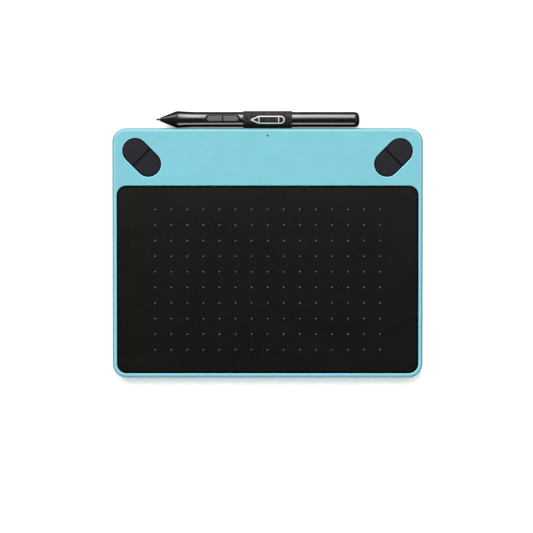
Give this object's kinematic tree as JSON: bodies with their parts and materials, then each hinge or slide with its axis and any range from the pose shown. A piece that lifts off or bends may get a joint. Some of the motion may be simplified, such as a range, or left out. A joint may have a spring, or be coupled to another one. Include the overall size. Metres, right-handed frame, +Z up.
{
  "type": "pen drawing tablet",
  "caption": "Slim drawing tablet with a black pen area, paired keys in the rear corners and a pen held in a woven loop",
  "frame": {"origin": "on the table under the middle of the whole object, pen included", "axes": "+X to the drawer's right along the tablet's long side, +Y away from the drawer towards the pen, +Z up"},
  "size_m": [0.21, 0.1806, 0.0117],
  "materials": {
    "top_shell": "moulded turquoise plastic, satin",
    "base_shell": "moulded turquoise plastic, fine texture",
    "draw_sheet": "black film with a fine tooth and printed dots",
    "key_plastic": "black moulded plastic, satin",
    "inner_plastic": "black moulded plastic",
    "foot_rubber": "soft black rubber",
    "screw_steel": "zinc-plated steel",
    "board_green": "green solder mask on glass laminate",
    "chip_epoxy": "black moulded epoxy",
    "shield_steel": "bright sheet steel",
    "socket_steel": "nickel-plated sheet steel",
    "contact_brass": "gilt spring brass",
    "light_pipe": "clear acrylic, frosted end",
    "film_tan": "polyimide film",
    "webbing": "black woven polyester webbing",
    "pen_plastic": "black moulded plastic, semi-gloss",
    "pen_cone": "black moulded plastic, satin",
    "pen_switch": "dark grey moulded plastic",
    "nib_plastic": "dark grey acetal",
    "ferrite": "sintered ferrite",
    "copper_wire": "enamelled copper winding",
    "puller_steel": "spring steel"
  },
  "bodies": {
    "tablet": {"battery_contact_block": "inner_plastic", "battery_contacts": "contact_brass", "battery_tub": "inner_plastic", "board_chips": "chip_epoxy", "board_screws": "screw_steel", "bottom_cover": "base_shell", "case_screws": "screw_steel", "drawing_sheet": "draw_sheet", "foot_front_left": "foot_rubber", "foot_front_right": "foot_rubber", "foot_rear_left": "foot_rubber", "foot_rear_right": "foot_rubber", "key_frame_left": "inner_plastic", "key_frame_right": "inner_plastic", "key_frame_screws": "screw_steel", "key_switches": "chip_epoxy", "loop_clamp_left": "inner_plastic", "loop_clamp_right": "inner_plastic", "loop_clamp_screws": "screw_steel", "main_board": "board_green", "nib_puller": "puller_steel", "pen_loop": "webbing", "radio_socket": "inner_plastic", "radio_tub": "inner_plastic", "ribbon_cable": "film_tan", "ribbon_connectors": "inner_plastic", "sensor_board": "board_green", "sensor_spacer": "film_tan", "shield_plate": "shield_steel", "spare_nib_holder": "inner_plastic", "spare_nib_tub": "inner_plastic", "spare_nibs": "nib_plastic", "status_led": "light_pipe", "status_light_pipe": "light_pipe", "top_cover": "top_shell", "usb_shell": "socket_steel", "usb_tongue": "inner_plastic"},
    "left_outer_key": {"left_outer_key": "key_plastic", "left_outer_switch_button": "inner_plastic"},
    "left_inner_key": {"left_inner_key": "key_plastic", "left_inner_switch_button": "inner_plastic"},
    "right_outer_key": {"right_outer_key": "key_plastic", "right_outer_switch_button": "inner_plastic"},
    "right_inner_key": {"right_inner_key": "key_plastic", "right_inner_switch_button": "inner_plastic"},
    "bay_lid": {"bay_lid": "base_shell"},
    "pen": {"pen_nose_cone": "pen_cone", "pen_ferrite_core": "ferrite", "pen_coil": "copper_wire", "pen_pressure_gauge": "inner_plastic", "pen_barrel": "pen_plastic", "pen_carrier": "inner_plastic", "pen_board": "board_green", "pen_switches": "chip_epoxy"},
    "pen_nib": {"pen_nib": "nib_plastic"},
    "pen_side_switch": {"pen_side_switch": "pen_switch"}
  },
  "joints": [
    {"name": "left_outer_key_press", "type": "slide", "parent": "tablet", "child": "left_outer_key", "axis": [0, 0, -1], "range_m": [0, 0.0004], "stiffness_N_per_m": 1500, "springref_m": -0.0003},
    {"name": "left_inner_key_press", "type": "slide", "parent": "tablet", "child": "left_inner_key", "axis": [0, 0, -1], "range_m": [0, 0.0004], "stiffness_N_per_m": 1500, "springref_m": -0.0003},
    {"name": "right_outer_key_press", "type": "slide", "parent": "tablet", "child": "right_outer_key", "axis": [0, 0, -1], "range_m": [0, 0.0004], "stiffness_N_per_m": 1500, "springref_m": -0.0003},
    {"name": "right_inner_key_press", "type": "slide", "parent": "tablet", "child": "right_inner_key", "axis": [0, 0, -1], "range_m": [0, 0.0004], "stiffness_N_per_m": 1500, "springref_m": -0.0003},
    {"name": "bay_lid_hinge", "type": "hinge", "parent": "tablet", "child": "bay_lid", "pos_m": [0, 0.04088, 0.001], "axis": [-1, 0, 0], "range_deg": [0, 75]},
    {"name": "pen_slide", "type": "slide", "parent": "tablet", "child": "pen", "axis": [-1, 0, 0], "range_m": [0, 0.085]},
    {"name": "nib_press", "type": "slide", "parent": "pen", "child": "pen_nib", "axis": [1, 0, 0], "range_m": [0, 0.0004], "stiffness_N_per_m": 3000, "springref_m": -0.0002},
    {"name": "side_switch_rock", "type": "hinge", "parent": "pen", "child": "pen_side_switch", "pos_m": [-0.0304, 0.08475, 0.00799], "axis": [0, 0.9962, -0.0872], "range_deg": [-3, 3], "stiffness_Nm_per_rad": 0.08}
  ]
}
